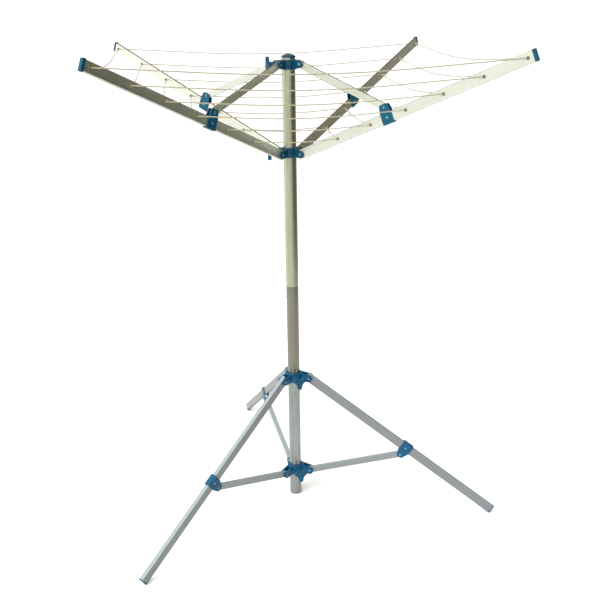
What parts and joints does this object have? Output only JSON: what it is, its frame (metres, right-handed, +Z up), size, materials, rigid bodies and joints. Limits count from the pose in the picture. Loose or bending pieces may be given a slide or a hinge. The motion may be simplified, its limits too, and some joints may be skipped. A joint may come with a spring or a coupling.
{
  "type": "rotary clothesline",
  "caption": "Free-standing rotary clothesline: folding arm head with rounds of line on a two-piece pole that stands on a folding tripod.",
  "frame": {"origin": "on the ground at the pole's axis", "axes": "+Z up along the pole, arm 1 along +X, arm 2 along +Y"},
  "size_m": [1.5486, 1.5486, 1.5267],
  "materials": {
    "upper_tube": "champagne anodised aluminium tube, satin",
    "lower_tube": "satin grey tube",
    "arm_tube": "satin drawn tube, bright on the flats",
    "leg_tube": "satin drawn tube",
    "blue_plastic": "petrol blue moulded plastic, soft sheen",
    "knob_plastic": "petrol blue moulded plastic",
    "rivet_steel": "bright zinc",
    "eyelet_brass": "cream moulded eyelet",
    "line_cord": "off-white plastic-coated cord"
  },
  "bodies": {
    "lower_pole": {"lower_pole": "lower_tube", "pole_spigot": "lower_tube", "spigot_rivet": "rivet_steel"},
    "upper_pole": {"upper_pole": "upper_tube", "pole_cap": "blue_plastic", "upper_hub": "blue_plastic", "upper_hub_rivets": "rivet_steel"},
    "upper_hub_knob": {"upper_hub_knob": "knob_plastic"},
    "lower_hub": {"lower_hub": "blue_plastic", "lower_hub_rivets": "rivet_steel"},
    "lower_hub_knob": {"lower_hub_knob": "knob_plastic"},
    "upper_collar": {"upper_collar": "blue_plastic", "upper_collar_rivets": "rivet_steel"},
    "upper_collar_knob": {"upper_collar_knob": "knob_plastic"},
    "lower_collar": {"lower_collar": "blue_plastic", "lower_collar_rivets": "rivet_steel"},
    "lower_collar_knob": {"lower_collar_knob": "knob_plastic"},
    "arm_1": {"arm_1": "arm_tube", "arm_1_cap": "blue_plastic", "arm_1_bracket": "blue_plastic", "arm_1_rivets": "rivet_steel", "arm_1_eyelets": "eyelet_brass", "line_span_1": "line_cord"},
    "strut_1": {"strut_1": "arm_tube"},
    "arm_2": {"arm_2": "arm_tube", "arm_2_cap": "blue_plastic", "arm_2_bracket": "blue_plastic", "arm_2_rivets": "rivet_steel", "arm_2_eyelets": "eyelet_brass", "line_span_2": "line_cord"},
    "strut_2": {"strut_2": "arm_tube"},
    "arm_3": {"arm_3": "arm_tube", "arm_3_cap": "blue_plastic", "arm_3_bracket": "blue_plastic", "arm_3_rivets": "rivet_steel", "arm_3_eyelets": "eyelet_brass", "line_span_3": "line_cord"},
    "strut_3": {"strut_3": "arm_tube"},
    "arm_4": {"arm_4": "arm_tube", "arm_4_cap": "blue_plastic", "arm_4_bracket": "blue_plastic", "arm_4_rivets": "rivet_steel", "arm_4_eyelets": "eyelet_brass", "line_span_4": "line_cord"},
    "strut_4": {"strut_4": "arm_tube"},
    "leg_1": {"leg_1": "leg_tube", "leg_1_foot": "blue_plastic", "leg_1_bracket": "blue_plastic", "leg_1_rivets": "rivet_steel"},
    "brace_1": {"brace_1": "leg_tube"},
    "leg_2": {"leg_2": "leg_tube", "leg_2_foot": "blue_plastic", "leg_2_bracket": "blue_plastic", "leg_2_rivets": "rivet_steel"},
    "brace_2": {"brace_2": "leg_tube"},
    "leg_3": {"leg_3": "leg_tube", "leg_3_foot": "blue_plastic", "leg_3_bracket": "blue_plastic", "leg_3_rivets": "rivet_steel"},
    "brace_3": {"brace_3": "leg_tube"}
  },
  "joints": [
    {"name": "head_turn", "type": "hinge", "parent": "lower_pole", "child": "upper_pole", "pos_m": [0, 0, 0.775], "axis": [0, 0, 1], "continuous": true},
    {"name": "head_fold", "type": "slide", "parent": "upper_pole", "child": "lower_hub", "axis": [0, 0, -1], "range_m": [0, 0.3793]},
    {"name": "arm_1_hinge", "type": "hinge", "parent": "lower_hub", "child": "arm_1", "pos_m": [0.045, 0, 1.206], "axis": [0, -1, 0], "range_deg": [0, 64.05], "deforming": ["line_span_1"]},
    {"name": "strut_1_hinge", "type": "hinge", "parent": "arm_1", "child": "strut_1", "pos_m": [0.33808, 0, 1.36281], "axis": [0, 1, 0], "range_deg": [0, 136.11]},
    {"name": "arm_2_hinge", "type": "hinge", "parent": "lower_hub", "child": "arm_2", "pos_m": [0, 0.045, 1.206], "axis": [1, 0, 0], "range_deg": [0, 64.05], "deforming": ["line_span_2"]},
    {"name": "strut_2_hinge", "type": "hinge", "parent": "arm_2", "child": "strut_2", "pos_m": [0, 0.33808, 1.36281], "axis": [-1, 0, 0], "range_deg": [0, 136.11]},
    {"name": "arm_3_hinge", "type": "hinge", "parent": "lower_hub", "child": "arm_3", "pos_m": [-0.045, 0, 1.206], "axis": [0, 1, 0], "range_deg": [0, 64.05], "deforming": ["line_span_3"]},
    {"name": "strut_3_hinge", "type": "hinge", "parent": "arm_3", "child": "strut_3", "pos_m": [-0.33808, 0, 1.36281], "axis": [0, -1, 0], "range_deg": [0, 136.11]},
    {"name": "arm_4_hinge", "type": "hinge", "parent": "lower_hub", "child": "arm_4", "pos_m": [0, -0.045, 1.206], "axis": [-1, 0, 0], "range_deg": [0, 64.05], "deforming": ["line_span_4"]},
    {"name": "strut_4_hinge", "type": "hinge", "parent": "arm_4", "child": "strut_4", "pos_m": [0, -0.33808, 1.36281], "axis": [1, 0, 0], "range_deg": [0, 136.11]},
    {"name": "tripod_fold", "type": "slide", "parent": "lower_pole", "child": "upper_collar", "axis": [0, 0, 1], "range_m": [0, 0.30277]},
    {"name": "lower_collar_slide", "type": "slide", "parent": "lower_pole", "child": "lower_collar", "axis": [0, 0, -1], "range_m": [0, 0.0797]},
    {"name": "leg_1_hinge", "type": "hinge", "parent": "upper_collar", "child": "leg_1", "pos_m": [0.03044, 0.04338, 0.44873], "axis": [-0.8186, 0.5744, 0], "range_deg": [0, 52.54]},
    {"name": "brace_1_hinge", "type": "hinge", "parent": "leg_1", "child": "brace_1", "pos_m": [0.21158, 0.30149, 0.19113], "axis": [0.8186, -0.5744, 0], "range_deg": [0, 127.7]},
    {"name": "leg_2_hinge", "type": "hinge", "parent": "upper_collar", "child": "leg_2", "pos_m": [-0.05279, 0.00468, 0.44873], "axis": [-0.0882, -0.9961, 0], "range_deg": [0, 52.54]},
    {"name": "brace_2_hinge", "type": "hinge", "parent": "leg_2", "child": "brace_2", "pos_m": [-0.36688, 0.03248, 0.19113], "axis": [0.0882, 0.9961, 0], "range_deg": [0, 127.7]},
    {"name": "leg_3_hinge", "type": "hinge", "parent": "upper_collar", "child": "leg_3", "pos_m": [0.02235, -0.04806, 0.44873], "axis": [0.9067, 0.4217, 0], "range_deg": [0, 52.54]},
    {"name": "brace_3_hinge", "type": "hinge", "parent": "leg_3", "child": "brace_3", "pos_m": [0.15531, -0.33397, 0.19113], "axis": [-0.9067, -0.4217, 0], "range_deg": [0, 127.7]},
    {"name": "upper_hub_knob_turn", "type": "hinge", "parent": "upper_pole", "child": "upper_hub_knob", "pos_m": [-0.04243, 0.04243, 1.4699], "axis": [-0.7071, 0.7071, 0], "range_deg": [0, 720]},
    {"name": "lower_hub_knob_turn", "type": "hinge", "parent": "lower_hub", "child": "lower_hub_knob", "pos_m": [-0.04243, 0.04243, 1.20945], "axis": [-0.7071, 0.7071, 0], "range_deg": [0, 720]},
    {"name": "upper_collar_knob_turn", "type": "hinge", "parent": "upper_collar", "child": "upper_collar_knob", "pos_m": [-0.03447, -0.04911, 0.45223], "axis": [-0.5744, -0.8186, 0], "range_deg": [0, 720]},
    {"name": "lower_collar_knob_turn", "type": "hinge", "parent": "lower_collar", "child": "lower_collar_knob", "pos_m": [-0.03447, -0.04911, 0.0992], "axis": [-0.5744, -0.8186, 0], "range_deg": [0, 720]}
  ],
  "couplings": [
    {"joint": "arm_1_hinge", "follows": "head_fold", "rad_per_m": 2.9463},
    {"joint": "strut_1_hinge", "follows": "head_fold", "rad_per_m": 6.2618},
    {"joint": "arm_2_hinge", "follows": "head_fold", "rad_per_m": 2.9463},
    {"joint": "strut_2_hinge", "follows": "head_fold", "rad_per_m": 6.2618},
    {"joint": "arm_3_hinge", "follows": "head_fold", "rad_per_m": 2.9463},
    {"joint": "strut_3_hinge", "follows": "head_fold", "rad_per_m": 6.2618},
    {"joint": "arm_4_hinge", "follows": "head_fold", "rad_per_m": 2.9463},
    {"joint": "strut_4_hinge", "follows": "head_fold", "rad_per_m": 6.2618},
    {"joint": "lower_collar_slide", "follows": "tripod_fold", "ratio": 0.26291},
    {"joint": "leg_1_hinge", "follows": "tripod_fold", "rad_per_m": 3.0276},
    {"joint": "brace_1_hinge", "follows": "tripod_fold", "rad_per_m": 7.3602},
    {"joint": "leg_2_hinge", "follows": "tripod_fold", "rad_per_m": 3.0276},
    {"joint": "brace_2_hinge", "follows": "tripod_fold", "rad_per_m": 7.3602},
    {"joint": "leg_3_hinge", "follows": "tripod_fold", "rad_per_m": 3.0276},
    {"joint": "brace_3_hinge", "follows": "tripod_fold", "rad_per_m": 7.3602}
  ]
}
